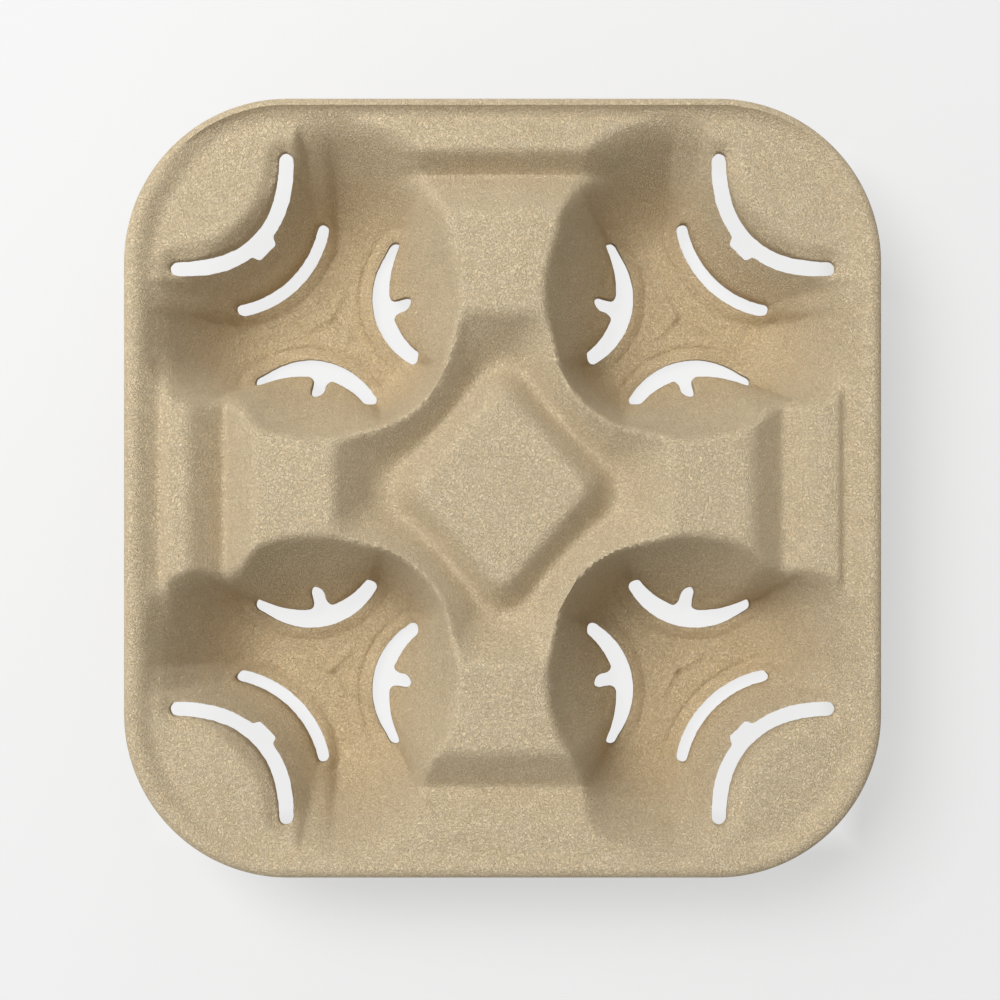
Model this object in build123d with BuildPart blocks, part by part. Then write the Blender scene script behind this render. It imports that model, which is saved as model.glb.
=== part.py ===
"""Moulded-fibre cup carrier: one thin shell with four pockets, a raised cross and a turned-down rim."""
from build123d import *
from math import atan2, cos, degrees, exp, log, radians, sin, sqrt, tan
import os

# Overall size in millimetres. X runs across, Y from front to back, and the pockets stand on Z = 0.
carrier_width = 216.0
carrier_depth = 222.2
outer_corner_radius = 46.8
wall = 2.0

# Heights of the upper surface.
floor_height = wall
ridge_height = 44.5
rim_height = 42.0
diamond_height = 40.0
pad_height = 39.7
ear_height = 38.7
ledge_height = 35.0
skirt_height = 35.5
valley_height = 30.5
moat_height = 25.0

# Rolled rim: how far in from the outer edge its crown ends and its inner slope meets the ears.
rim_crown_inset = 5.2
rim_foot_inset = 7.9
rim_outer_round = 2.6
rim_inner_round = 1.5

# Raised cross. Each arm slopes down to a valley, and a flat pad lies between the valley and the rim.
side_arm_end = 70.5
side_valley = 81.0
side_pad_start = 89.6
side_pad_end = 95.8
side_arm_breadth = 76.0
back_arm_end = 78.0
back_valley = 91.6
front_arm_end = 74.8
front_valley = 85.0
end_pad_start = 96.4
end_pad_end = 103.7
end_arm_breadth = 82.0
ridge_round = 3.0

# Central diamond, and the moat round it, whose outer walls run parallel to the pockets.
diamond_half_width = 24.7
diamond_half_depth = 28.6
diamond_corner_radius = 3.0
diamond_round = 2.5
moat_half_width = 34.6
moat_half_depth = 37.5
moat_pocket_radius = 51.8
moat_slope = 55.0

# Pocket axes, the reach of the lobes from them, and the rounding between floor and wall, which
# reaches in across the floor by a share of its height.
pocket_axis_x = 53.4
pocket_axis_y = 54.4
floor_reach = 25.5
mouth_reach_outer = 50.4
mouth_reach_inner = 42.5
inner_lobe_sharpness = 6
outline_softness = 2.2
outline_points = 48
lobe_rounding = 10.0
finger_rounding = 1.5
rounding_reach = 0.6

# Fingers that press into each pocket: distance of a finger's face from the axis, and its radius.
finger_foot = 13.6
corner_foot_radius = 36.6
corner_mouth = 31.5
corner_mouth_radius = 26.0
side_foot_radius = 25.0
side_foot_angle = 125.0
side_mouth = 42.3
side_mouth_radius = 60.0
side_mouth_angle = 132.0

# Ledge at the top of each corner finger: a curved recess that slopes up to the ear.
ledge_face = 24.9
ledge_radius = 31.9
ledge_half_width = 3.9
ledge_half_angle = 43.0
ledge_slope = 45.0

# Windows at the fingers' feet and in the ledges: near and far edge, each as distance, radius and half angle.
window_near = 13.4
corner_window_near_radius = 36.8
corner_window_near_angle = 30.0
corner_window_far = 16.9
corner_window_far_radius = 34.5
corner_window_far_angle = 29.0
side_window_near_radius = 25.2
side_window_near_angle = 46.5
side_window_far = 19.2
side_window_far_radius = 28.3
side_window_far_angle = 36.0
ledge_slot_near = 25.4
ledge_slot_near_radius = 37.8
ledge_slot_near_angle = 39.0
ledge_slot_far = 27.8
ledge_slot_far_radius = 29.0
ledge_slot_far_angle = 45.0

# Notches: a slit that runs up each side finger from its window, and a shallow step in the ledge's slot.
slit_width = 4.4
slit_angle = 3.5
slit_length = 12.6
step_width = 7.9
step_depth = 1.3

cut_overlap = 0.2
height_tolerance = 0.01
above_everything = ridge_height + wall
below_everything = -wall
pocket_places = [
    Location((x * pocket_axis_x, y * pocket_axis_y, 0), (0, 0, turn))
    for x, y, turn in ((1, 1, 45), (-1, 1, 135), (-1, -1, 225), (1, -1, 315))
]

side_valleys = [
    (side_arm_end, side_valley, side_pad_start, 1),
    (side_arm_end, side_valley, side_pad_start, -1),
]
end_valleys = [
    (back_arm_end, back_valley, end_pad_start, 1),
    (front_arm_end, front_valley, end_pad_start, -1),
]


def sideways(slope, drop):
    """How far an outline moves sideways when a surface of this slope is lowered squarely by drop."""
    return drop * tan(radians(slope) / 2)


def ray_to_circle(angle, face, radius):
    """Distance along a ray from the axis to a circle whose nearest point lies face away on local +X."""
    centre = face + radius
    aside = centre * sin(radians(angle))
    if cos(radians(angle)) <= 0 or abs(aside) >= radius:
        return 2 * mouth_reach_outer
    return centre * cos(radians(angle)) - sqrt(radius**2 - aside**2)


def soft_minimum(distances):
    """The smallest of the distances, with the corners between them rounded off."""
    least = min(distances)
    return least - outline_softness * log(sum(exp((least - d) / outline_softness) for d in distances))


def floor_radius(angle):
    """Distance from the axis to the pocket's wall at floor level, between three fingers."""
    return soft_minimum([
        floor_reach,
        ray_to_circle(angle, finger_foot, corner_foot_radius),
        ray_to_circle(angle - side_foot_angle, finger_foot, side_foot_radius),
        ray_to_circle(angle + side_foot_angle, finger_foot, side_foot_radius),
    ])


def mouth_radius(angle):
    """Distance from the axis to the pocket's wall at ridge level, where the side fingers fade out."""
    inward = ((1 - cos(radians(angle))) / 2) ** inner_lobe_sharpness
    return soft_minimum([
        mouth_reach_outer + (mouth_reach_inner - mouth_reach_outer) * inward,
        ray_to_circle(angle, corner_mouth, corner_mouth_radius),
        ray_to_circle(angle - side_mouth_angle, side_mouth, side_mouth_radius),
        ray_to_circle(angle + side_mouth_angle, side_mouth, side_mouth_radius),
    ])


def pocket_point(angle, height):
    """Point on the pocket's wall: straight from floor to mouth, and rounded into the floor."""
    foot = floor_radius(angle)
    rise = (height - floor_height) / (ridge_height - floor_height)
    lobe = (foot - finger_foot) / (floor_reach - finger_foot)
    rounding = finger_rounding + (lobe_rounding - finger_rounding) * max(0.0, lobe)
    short = max(0.0, 1 - (height - floor_height) / rounding)
    wall_distance = foot + (mouth_radius(angle) - foot) * rise
    distance = wall_distance - rounding_reach * rounding * (1 - sqrt(1 - short**2))
    return Vector(distance * cos(radians(angle)), distance * sin(radians(angle)))


def pocket_outline(height, grow):
    """Points round the pocket at one height, each moved out by grow, square to the outline."""
    half_step = 180 / outline_points
    points = []
    for step in range(outline_points):
        angle = 2 * half_step * step
        along = (pocket_point(angle + half_step, height) - pocket_point(angle - half_step, height)).normalized()
        points.append(pocket_point(angle, height) + Vector(along.Y, -along.X) * grow)
    return points


def pocket_cavity(drop):
    """Space inside one pocket. A drop lowers it and widens it, which gives the outer face of the wall."""
    rounding_heights = [floor_height + lobe_rounding * share for share in (0, 0.1, 0.4, 1)]
    wall_slope = degrees(atan2(ridge_height - floor_height, mouth_reach_inner - floor_reach))
    with BuildPart() as cavity:
        for height in rounding_heights + [above_everything]:
            with BuildSketch(Plane.XY.offset(height - drop)):
                with BuildLine():
                    Spline(*pocket_outline(height, sideways(wall_slope, drop)), periodic=True)
                make_face()
        loft(ruled=True)
    return cavity.part


def ledge_recess(drop):
    """Curved recess in the ear, round the ledge's slot."""
    with BuildPart() as recess:
        for height in (ledge_height, ear_height + cut_overlap):
            half_width = ledge_half_width + (height - ledge_height) / tan(radians(ledge_slope))
            with BuildSketch(Plane.XY.offset(height - drop)):
                with BuildLine(mode=Mode.PRIVATE) as middle:
                    CenterArc((ledge_face + ledge_radius, 0), ledge_radius,
                              180 - ledge_half_angle, 2 * ledge_half_angle)
                SlotArc(middle.edge(), 2 * (half_width + sideways(ledge_slope, drop)))
        loft(ruled=True)
    return recess.part


def moat_pit(drop):
    """Pit round the diamond: its ends slope up to the arms, and its sides up to the pockets."""
    with BuildPart() as pit:
        for height in (moat_height, above_everything):
            out = (height - moat_height) / tan(radians(moat_slope)) + sideways(moat_slope, drop)
            with BuildSketch(Plane.XY.offset(height - drop)):
                Rectangle(2 * (moat_half_width + out), 2 * (moat_half_depth + out))
                with Locations(*pocket_places):
                    Circle(moat_pocket_radius - out, mode=Mode.SUBTRACT)
        loft(ruled=True)
    return pit.part


def diamond(drop):
    """Flat-topped diamond that stands in the moat."""
    edge_distance = diamond_half_width * diamond_half_depth / sqrt(diamond_half_width**2 + diamond_half_depth**2)
    with BuildPart() as frustum:
        for height in (floor_height, diamond_height):
            out = (diamond_height - height) / tan(radians(moat_slope)) - sideways(moat_slope, drop)
            half_width = diamond_half_width * (1 + out / edge_distance)
            half_depth = diamond_half_depth * (1 + out / edge_distance)
            with BuildSketch(Plane.XY.offset(height - drop)):
                with BuildLine():
                    FilletPolyline((half_width, 0), (0, half_depth), (-half_width, 0), (0, -half_depth),
                                   radius=diamond_corner_radius + out, close=True)
                make_face()
        loft(ruled=True)
    return frustum.part


def rim_dish(drop):
    """Shallow dish inside the rim, down to the ears."""
    slope_run = (rim_foot_inset - rim_crown_inset) / (rim_height - ear_height)
    grow = sideways(degrees(atan2(1, slope_run)), drop)
    with BuildPart() as dish:
        for height in (ear_height, above_everything):
            inset = rim_foot_inset - (height - ear_height) * slope_run - grow
            with BuildSketch(Plane.XY.offset(height - drop)):
                RectangleRounded(carrier_width - 2 * inset, carrier_depth - 2 * inset,
                                 outer_corner_radius - inset)
        loft(ruled=True)
    return dish.part


def valley_profile(arm_end, valley, pad_start, side):
    """Corners of the V between an arm's end slope and its pad, with both slopes carried up past the top."""
    arm_run = (valley - arm_end) / (ridge_height - valley_height)
    pad_run = (pad_start - valley) / (pad_height - valley_height)
    rise = above_everything + wall - valley_height
    return [
        (side * (valley - rise * arm_run), valley_height + rise),
        (side * valley, valley_height),
        (side * (valley + rise * pad_run), valley_height + rise),
    ]


def valley_cut(plane, valleys, breadth, drop):
    """The valleys across one pair of arms."""
    with BuildPart() as cut:
        with BuildSketch(plane):
            for valley in valleys:
                with BuildLine():
                    Polyline(*valley_profile(*valley), close=True)
                make_face()
            if drop:
                offset(amount=drop, kind=Kind.INTERSECTION)
        extrude(amount=breadth / 2, both=True)
    return cut.part


def level_faces(part, height):
    """The flat faces at one height."""
    level = part.faces().filter_by(Plane.XY)
    return level.filter_by_position(Axis.Z, height - height_tolerance, height + height_tolerance)


def space_below(drop):
    """Everything under the upper surface, or with a drop of one wall, under the lower surface."""
    with BuildPart() as solid:
        with BuildSketch():
            RectangleRounded(carrier_width - 2 * drop, carrier_depth - 2 * drop, outer_corner_radius - drop)
        extrude(amount=rim_height - drop)
        add(rim_dish(drop), mode=Mode.SUBTRACT)
        with BuildSketch():
            Rectangle(2 * (side_pad_end - drop), side_arm_breadth - 2 * drop)
            Rectangle(end_arm_breadth - 2 * drop, 2 * (end_pad_end - drop))
        extrude(amount=pad_height - drop)
        with BuildSketch():
            Rectangle(2 * side_valley, side_arm_breadth - 2 * drop)
            with Locations((0, (back_valley - front_valley) / 2)):
                Rectangle(end_arm_breadth - 2 * drop, back_valley + front_valley)
        extrude(amount=ridge_height - drop)
        add(valley_cut(Plane.XZ, side_valleys, side_arm_breadth, drop), mode=Mode.SUBTRACT)
        add(valley_cut(Plane.YZ, end_valleys, end_arm_breadth, drop), mode=Mode.SUBTRACT)
        add(moat_pit(drop), mode=Mode.SUBTRACT)
        add(diamond(drop))
        with Locations(*pocket_places):
            add(pocket_cavity(drop), mode=Mode.SUBTRACT)
            add(ledge_recess(drop), mode=Mode.SUBTRACT)
    return solid


def crescent(near, near_radius, near_angle, far, far_radius, far_angle):
    """Opening between a near and a far arc, with round ends."""
    near_end = Vector(near + near_radius * (1 - cos(radians(near_angle))), near_radius * sin(radians(near_angle)))
    far_end = Vector(far + far_radius * (1 - cos(radians(far_angle))), far_radius * sin(radians(far_angle)))
    across = far_end - near_end
    tip = (near_end + far_end) / 2 + Vector(-across.Y, across.X) / 2
    with BuildSketch() as opening:
        with BuildLine():
            ThreePointArc((near_end.X, -near_end.Y), (near, 0), near_end)
            ThreePointArc(near_end, tip, far_end)
            ThreePointArc(far_end, (far, 0), (far_end.X, -far_end.Y))
            ThreePointArc((far_end.X, -far_end.Y), (tip.X, -tip.Y), (near_end.X, -near_end.Y))
        make_face()
    return opening.sketch


def slit(side):
    """Slit up a side finger, on the side of the carrier's corner."""
    centre = Vector(window_near + side_window_near_radius, 0)
    towards_axis = Vector(-1, 0).rotate(Axis.Z, side * slit_angle)
    top_end = centre + towards_axis * (side_window_near_radius - slit_length + slit_width / 2)
    foot_end = centre + towards_axis * (side_window_near_radius - slit_width)
    with BuildSketch() as opening:
        with BuildLine(mode=Mode.PRIVATE) as middle:
            Line(top_end, foot_end)
        SlotArc(middle.edge(), slit_width)
    return opening.sketch


with BuildPart() as windows:
    with BuildSketch(Plane.XY.offset(below_everything)):
        add(crescent(window_near, corner_window_near_radius, corner_window_near_angle,
                     corner_window_far, corner_window_far_radius, corner_window_far_angle))
        add(crescent(ledge_slot_near, ledge_slot_near_radius, ledge_slot_near_angle,
                     ledge_slot_far, ledge_slot_far_radius, ledge_slot_far_angle))
        with Locations((ledge_slot_near, 0)):
            Rectangle(2 * step_depth, step_width)
        for side in (1, -1):
            with Locations(Location((0, 0, 0), (0, 0, side * side_foot_angle))):
                add(crescent(window_near, side_window_near_radius, side_window_near_angle,
                             side_window_far, side_window_far_radius, side_window_far_angle))
                add(slit(side))
    extrude(amount=above_everything - below_everything)

upper = space_below(0)
with BuildPart() as cup_carrier:
    add(upper.part)
    fillet(level_faces(cup_carrier.part, ridge_height).edges(), ridge_round)
    fillet(level_faces(cup_carrier.part, diamond_height).edges(), diamond_round)
    fillet(level_faces(cup_carrier.part, rim_height)[0].outer_wire().edges(), rim_outer_round)
    fillet(level_faces(cup_carrier.part, rim_height)[0].inner_wires().edges(), rim_inner_round)
    add(space_below(wall).part, mode=Mode.SUBTRACT)
    with BuildSketch(Plane.XY.offset(below_everything)):
        Rectangle(2 * carrier_width, 2 * carrier_depth)
        RectangleRounded(carrier_width - 2 * wall, carrier_depth - 2 * wall, outer_corner_radius - wall,
                         mode=Mode.SUBTRACT)
    extrude(amount=skirt_height - below_everything, mode=Mode.SUBTRACT)
    with Locations(*pocket_places):
        add(windows.part, mode=Mode.SUBTRACT)

cup_carrier.part.label = "cup_carrier"
os.makedirs("parts", exist_ok=True)
export_step(cup_carrier.part, "parts/cup_carrier.step")
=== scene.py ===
"""Moulded-fibre cup carrier: the pressed tray with its pulp finish, and the plain studio that shows it."""

import bmesh
import bpy
import numpy as np
from bpy.props import FloatProperty, FloatVectorProperty, IntProperty, PointerProperty
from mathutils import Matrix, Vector
from mathutils.geometry import delaunay_2d_cdt
from mathutils.kdtree import KDTree


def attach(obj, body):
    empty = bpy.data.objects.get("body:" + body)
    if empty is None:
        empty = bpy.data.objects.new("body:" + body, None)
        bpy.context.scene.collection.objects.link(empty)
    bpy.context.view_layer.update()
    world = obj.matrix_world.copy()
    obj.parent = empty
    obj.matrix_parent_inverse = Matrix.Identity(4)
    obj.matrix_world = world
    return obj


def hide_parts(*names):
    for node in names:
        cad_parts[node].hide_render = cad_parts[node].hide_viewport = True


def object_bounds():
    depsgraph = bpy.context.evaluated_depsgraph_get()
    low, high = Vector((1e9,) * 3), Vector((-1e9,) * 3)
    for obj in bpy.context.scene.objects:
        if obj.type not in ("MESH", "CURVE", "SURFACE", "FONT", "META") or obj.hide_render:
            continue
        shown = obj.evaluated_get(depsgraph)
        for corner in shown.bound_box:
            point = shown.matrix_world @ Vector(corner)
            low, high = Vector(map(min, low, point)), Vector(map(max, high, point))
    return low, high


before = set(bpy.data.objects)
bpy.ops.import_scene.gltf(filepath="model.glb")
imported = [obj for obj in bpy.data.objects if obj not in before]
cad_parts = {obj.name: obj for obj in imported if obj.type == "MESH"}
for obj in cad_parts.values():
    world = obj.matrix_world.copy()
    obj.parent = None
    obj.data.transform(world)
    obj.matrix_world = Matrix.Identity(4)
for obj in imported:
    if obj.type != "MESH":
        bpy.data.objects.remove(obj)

bl_info = {
    "name": "Moulded-fibre cup carrier",
    "version": (1, 0, 0),
    "blender": (4, 5, 0),
    "location": "3D View > Sidebar > Cup carrier",
    "description": "Makes a pressed-pulp carrier for four cups, and a plain studio round it",
    "category": "Add Mesh",
}

MM = 0.001
CAD_LOW, CAD_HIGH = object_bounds()

# Spacing of the mesh's points
TOP_SPACING = 1.0 * MM
TOP_FLOOR_SPACING = 0.62 * MM
UNDER_SPACING = 2.2 * MM
UNDER_FLOOR_SPACING = 2.0 * MM
OPENING_SPACING = 0.55 * MM
ARC_SPACING = 0.5 * MM
FINE_SPACING = 0.3 * MM
CLEAR_SHARE = 0.45
RIM_POINTS = 540


def length(name, millimetres, description):
    """A length property. Blender keeps it in metres."""
    return FloatProperty(name=name, description=description, default=millimetres * MM,
                         unit="LENGTH", precision=5)


def angle(name, degrees, description):
    """An angle property. Blender keeps it in radians."""
    return FloatProperty(name=name, description=description, default=np.radians(degrees), subtype="ANGLE")


def number(name, default, description):
    """A plain number."""
    return FloatProperty(name=name, description=description, default=default)


def colour(name, default, description):
    """A linear colour with its alpha."""
    return FloatVectorProperty(name=name, description=description, default=(*default, 1.0), size=4,
                               subtype="COLOR", min=0.0, max=1.0)


def position(name, default, description):
    """A place in metres."""
    return FloatVectorProperty(name=name, description=description, default=default, subtype="TRANSLATION")


class TraySizes(bpy.types.PropertyGroup):
    """Sizes of the pressed tray. Distances on an arm are measured from the carrier's centre."""

    width: length("Width", (CAD_HIGH.x - CAD_LOW.x) / MM, "Size across the carrier")
    depth: length("Depth", (CAD_HIGH.y - CAD_LOW.y) / MM, "Size from front to back")
    corner_radius: length("Corner radius", 46.8, "Radius of the outline's corners")
    wall: length("Wall", 2.0, "Thickness of the pressed fibre")
    ridge_height: length("Ridge height", (CAD_HIGH.z - CAD_LOW.z) / MM, "Top of the raised cross")
    rim_height: length("Rim height", 42.0, "Crown of the rolled rim")
    diamond_height: length("Diamond height", 40.0, "Flat top of the central diamond")
    pad_height: length("Pad height", 39.7, "Flat pad between an arm and the rim")
    ear_height: length("Ear height", 38.7, "Flat corner behind each pocket")
    ledge_height: length("Ledge height", 35.0, "Bottom of the recess round a ledge slot")
    skirt_height: length("Skirt height", 35.5, "Lowest edge of the rim's skirt")
    valley_height: length("Valley height", 30.5, "Bottom of the valley at the left and back arms' ends")
    right_valley_height: length("Right valley height", 34.5, "Bottom of the valley at the right arm's end")
    front_valley_height: length("Front valley height", 32.0, "Bottom of the valley at the front arm's end")
    groove_height: length("Groove height", 37.7, "Bottom of the groove between a pad and the rim")
    moat_height: length("Moat height", 29.5, "Bottom of the moat round the diamond")
    rim_crest: length("Rim crest", 3.2, "How far in from the outline the rim's crest lies")
    rim_crown: length("Rim crown", 4.2, "How far in the rim's inner slope starts")
    rim_foot: length("Rim foot", 8.0, "How far in the rim's inner slope meets the ears")
    rim_round: length("Rim rounding", 1.2, "Rounding of the rim's crown")
    rim_foot_round: length("Rim foot rounding", 1.0, "Rounding where the rim meets the ears")
    back_rim_shift: length("Back rim shift", 2.6, "How much narrower the rim is along the back")
    back_rim_start: length("Back rim start", 26.0, "How far from the back the rim starts to narrow")
    back_rim_full: length("Back rim full", 6.0, "How far from the back the rim has narrowed")
    side_arm_end: length("Side arm end", 70.3, "Where a side arm starts to slope down")
    side_valley: length("Side valley", 81.0, "Valley between a side arm and its pad")
    side_pad_start: length("Side pad start", 89.6, "Inner edge of a side pad")
    side_pad_end: length("Side pad end", 95.8, "Outer edge of a side pad")
    side_arm_breadth: length("Side arm breadth", 76.0, "Breadth of the side arms")
    back_arm_end: length("Back arm end", 78.0, "Where the back arm starts to slope down")
    back_valley: length("Back valley", 91.6, "Valley between the back arm and its pad")
    front_arm_end: length("Front arm end", 74.8, "Where the front arm starts to slope down")
    front_valley: length("Front valley", 86.5, "Valley between the front arm and its pad")
    end_pad_start: length("End pad start", 96.4, "Inner edge of the front and back pads")
    end_pad_end: length("End pad end", 103.7, "Outer edge of the front pad")
    back_pad_end: length("Back pad end", 105.0, "Outer edge of the back pad")
    end_arm_breadth: length("End arm breadth", 82.0, "Breadth of the front and back arms")
    arm_end_round: length("Arm end rounding", 2.2, "Rounding where an arm starts to slope down")
    pad_round: length("Pad rounding", 1.8, "Rounding of a pad's inner edge")
    valley_round: length("Valley rounding", 2.5, "Rounding of the valleys' bottoms")
    groove_round: length("Groove rounding", 0.8, "Rounding of the grooves and the pads' outer edges")
    pad_slope: number("Pad slope", 1.1, "Fall of a pad's outer side for each unit outwards")
    arm_side_fade: length("Arm side fade", 2.0, "Half the run over which an arm ends at its side")
    recess_round: length("Recess rounding", 1.2, "Rounding of the upper edge of a ledge slot's recess")
    diamond_half_width: length("Diamond half width", 24.7, "Reach of the diamond's top to the sides")
    diamond_half_depth: length("Diamond half depth", 28.6, "Reach of the diamond's top to front and back")
    diamond_rounding: length("Diamond rounding", 3.0, "Rounding of the diamond's corners")
    diamond_edge_round: length("Diamond edge rounding", 2.2, "Rounding of the diamond's upper edge")
    diamond_foot_round: length("Diamond foot rounding", 3.0, "Rounding between the diamond and its moat")
    moat_half_width: length("Moat half width", 36.0, "Reach of the moat's bottom to the sides")
    moat_half_depth: length("Moat half depth", 38.0, "Reach of the moat's bottom to front and back")
    moat_pocket_radius: length("Moat radius", 51.5, "How far the moat's bottom stays from a pocket's axis")
    moat_slope: angle("Moat slope", 52.0, "Slope of the moat's sides")
    moat_corner_round: length("Moat corner rounding", 2.0, "Rounding of the moat's corners in the plan")
    moat_pocket_round: length("Moat pocket rounding", 6.0, "Rounding between the moat's ends and sides")
    moat_foot_round: length("Moat foot rounding", 3.5, "Rounding between the moat's bottom and its sides")
    moat_edge_round: length("Moat edge rounding", 2.4, "Rounding of the moat's upper edge")
    roughness: length("Unevenness", 0.10, "Height of the surface's slow waves")
    wave_length: length("Wave length", 5.3, "Spacing of the surface's slow waves")
    ripple_length: length("Ripple length", 2.1, "Spacing of the finer waves between them")
    even_edge: length("Even edge", 6.0, "How far in from the outline the waves reach their full height")


class PocketSizes(bpy.types.PropertyGroup):
    """Sizes of one cup pocket, its three fingers and its windows, from the pocket's axis."""

    axis_x: length("Axis across", 53.4, "Distance of a pocket's axis from the centre, across")
    axis_y: length("Axis front to back", 54.4, "Distance of a pocket's axis from the centre, front to back")
    floor_reach: length("Floor reach", 30.0, "Reach of the floor's lobes")
    mouth_reach_outer: length("Outer mouth reach", 51.5, "Farthest reach beside the corner finger")
    mouth_to_side: length("Mouth to the sides", 48.0, "Reach of the mouth towards the left and right rims")
    mouth_to_back: length("Mouth to the back", 52.5, "Reach of the mouth towards the back rim")
    mouth_to_front: length("Mouth to the front", 49.8, "Reach of the mouth towards the front rim")
    mouth_rim_round: length("Mouth rim rounding", 2.0, "Rounding where the mouth comes near a rim")
    mouth_reach_arm: length("Mouth reach at the arms", 40.3, "Reach of the mouth towards an arm")
    mouth_reach_back_arm: length("Mouth reach at the back", 41.0, "Reach of the mouth towards the back arm")
    mouth_reach_inner: length("Inner mouth reach", 43.2, "Reach of the mouth towards the carrier's centre")
    mouth_turn_start: angle("Mouth turn start", 72.0, "Direction where the mouth starts to draw in at an arm")
    mouth_turn_end: angle("Mouth turn end", 104.0, "Direction where the mouth has drawn in at an arm")
    inner_turn_start: angle("Inner turn start", 140.0, "Direction where the mouth starts to widen again")
    back_arm_turn: angle("Back arm turn", 12.0, "How much later the mouth has drawn in at the back arm")
    foot_softness: length("Foot softness", 2.2, "Rounding between lobes and fingers at the floor")
    wall_softness: length("Wall softness", 4.0, "Rounding between lobes and fingers up the wall")
    mouth_softness: length("Mouth softness", 6.5, "Rounding between the lobes and the corner finger's mouth")
    bowl: number("Bowl", 1.2, "How much steeper the wall gets towards the mouth. 1 is an even slope")
    overrun: number("Overrun", 1.4, "How fast the wall goes on rising past the mouth")
    finger_foot: length("Finger foot", 13.6, "Distance of a finger's face at the floor")
    corner_foot_radius: length("Corner finger foot radius", 42.0, "Radius of the corner finger at the floor")
    corner_mouth: length("Corner finger mouth", 31.5, "Distance of the corner finger's face at the mouth")
    corner_mouth_radius: length("Corner mouth radius", 55.0, "Radius of the corner finger at the mouth")
    side_foot_radius: length("Side finger foot radius", 25.0, "Radius of a side finger at the floor")
    side_wall_foot: length("Side wall foot", 17.0, "Distance where the wall over a side window starts")
    side_wall_radius: length("Side wall radius", 26.0, "Roundness of the wall over a side window")
    wall_foot_share: number("Wall foot share", 1.45, "Where the wall's foot holds, over the finger foot")
    side_foot_angle: angle("Side finger foot angle", 125.0, "Direction of a side finger at the floor")
    lobe_blend: length("Lobe blend", 14.0, "Height over which a lobe's wall curves into the floor")
    finger_blend: length("Finger blend", 5.0, "Height over which a finger's face curves into the floor")
    mouth_blend: length("Mouth blend", 5.6, "Height over which the wall curves into the arms")
    lobe_mouth_blend: length("Lobe mouth blend", 9.5, "Height over which a lobe's wall curves into the pads")
    lobe_side_start: angle("Lobe side start", 30.0, "Direction where the corner finger's mouth blend ends")
    lobe_start: angle("Lobe start", 60.0, "Direction where the lobe's mouth blend is in full")
    lobe_end: angle("Lobe end", 84.0, "Direction up to which the lobe's mouth blend is in full")
    lobe_side_end: angle("Lobe side end", 104.0, "Direction where the arm's mouth blend starts")
    fine_reach: length("Fine reach", 21.0, "How far from a pocket's axis the mesh is finest")
    ledge_face: length("Ledge face", 24.9, "Nearest point of the ledge's middle line")
    ledge_radius: length("Ledge radius", 31.9, "Radius of the ledge's middle line")
    ledge_half_width: length("Ledge half width", 2.6, "Half the width of the ledge's bottom")
    ledge_half_angle: angle("Ledge half angle", 43.0, "Half the angle that the ledge spans")
    ledge_round: length("Ledge rounding", 2.0, "Rounding between the ledge's bottom and its sides")
    ledge_slot_near: length("Ledge slot near", 24.3, "Nearest point of the ledge slot")
    ledge_slot_near_radius: length("Ledge slot near radius", 35.0, "Radius of its near edge")
    ledge_slot_near_angle: angle("Ledge slot near angle", 43.0, "Half the angle that its near edge spans")
    ledge_slot_far: length("Ledge slot far", 27.8, "Nearest point of its far edge")
    ledge_slot_far_radius: length("Ledge slot far radius", 29.0, "Radius of its far edge")
    ledge_slot_far_angle: angle("Ledge slot far angle", 45.0, "Half the angle that its far edge spans")
    step_start: length("Step start", 24.5, "Where the shallow step in the ledge slot leaves its near edge")
    step_width: length("Step width", 7.9, "Width of the step")
    step_depth: length("Step depth", 1.3, "Depth of the step")
    corner_window_near: length("Corner window near", 13.4, "Nearest point of the window at the corner finger")
    corner_window_near_radius: length("Corner window near radius", 36.8, "Radius of its near edge")
    corner_window_near_angle: angle("Corner near angle", 30.0, "Half the angle that its near edge spans")
    corner_window_far: length("Corner window far", 16.9, "Nearest point of its far edge")
    corner_window_far_radius: length("Corner window far radius", 34.5, "Radius of its far edge")
    corner_window_far_angle: angle("Corner window far angle", 29.0, "Half the angle that its far edge spans")
    side_window_near: length("Side window near", 13.4, "Nearest point of the window at a side finger")
    side_window_near_radius: length("Side window near radius", 23.5, "Radius of its near edge")
    side_window_near_angle: angle("Side window near angle", 48.5, "Half the angle that its near edge spans")
    side_window_far: length("Side window far", 19.2, "Nearest point of its far edge")
    side_window_far_radius: length("Side window far radius", 24.5, "Radius of its far edge")
    side_window_far_angle: angle("Side window far angle", 41.5, "Half the angle that its far edge spans")
    slit_width: length("Slit width", 4.4, "Width of the slit up a side finger")
    slit_reach: length("Slit reach", 12.6, "How far the slit runs from the window's near edge")
    slit_offset: length("Slit offset", 1.3, "How far the slit lies to the corner's side of the finger")
    slit_mouth: length("Slit mouth", 1.4, "How much wider the slit opens, on each side")
    edge_fuzz: length("Edge fuzz", 0.07, "Unevenness of the openings' edges")
    fuzz_spacing: length("Fuzz spacing", 0.8, "Spacing of the unevenness along the openings' edges")
    lip_height: length("Lip height", 0.55, "Height of the lip round a window")
    lip_place: length("Lip place", 1.2, "Distance of the lip's crest from the window, and the lip's width")
    crease_depth: length("Crease depth", 0.75, "Depth of the crease outside a lip")
    crease_width: length("Crease width", 0.55, "Width of the crease")
    corner_crease: length("Corner crease", 3.4, "Distance of the crease from the corner finger's window")
    side_crease: length("Side crease", 3.8, "Distance of the crease from a side finger's window")
    crease_fade_start: length("Crease fade start", 9.0, "Height where lips and creases start to fade")
    crease_fade_end: length("Crease fade end", 20.0, "Height where lips and creases have faded")
    relief_reach: length("Relief reach", 60.0, "How far from the axis lips and creases are looked for")
    mark_reach: length("Mark reach", 10.5, "Length of each arm of the raised mark in the floor")
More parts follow.
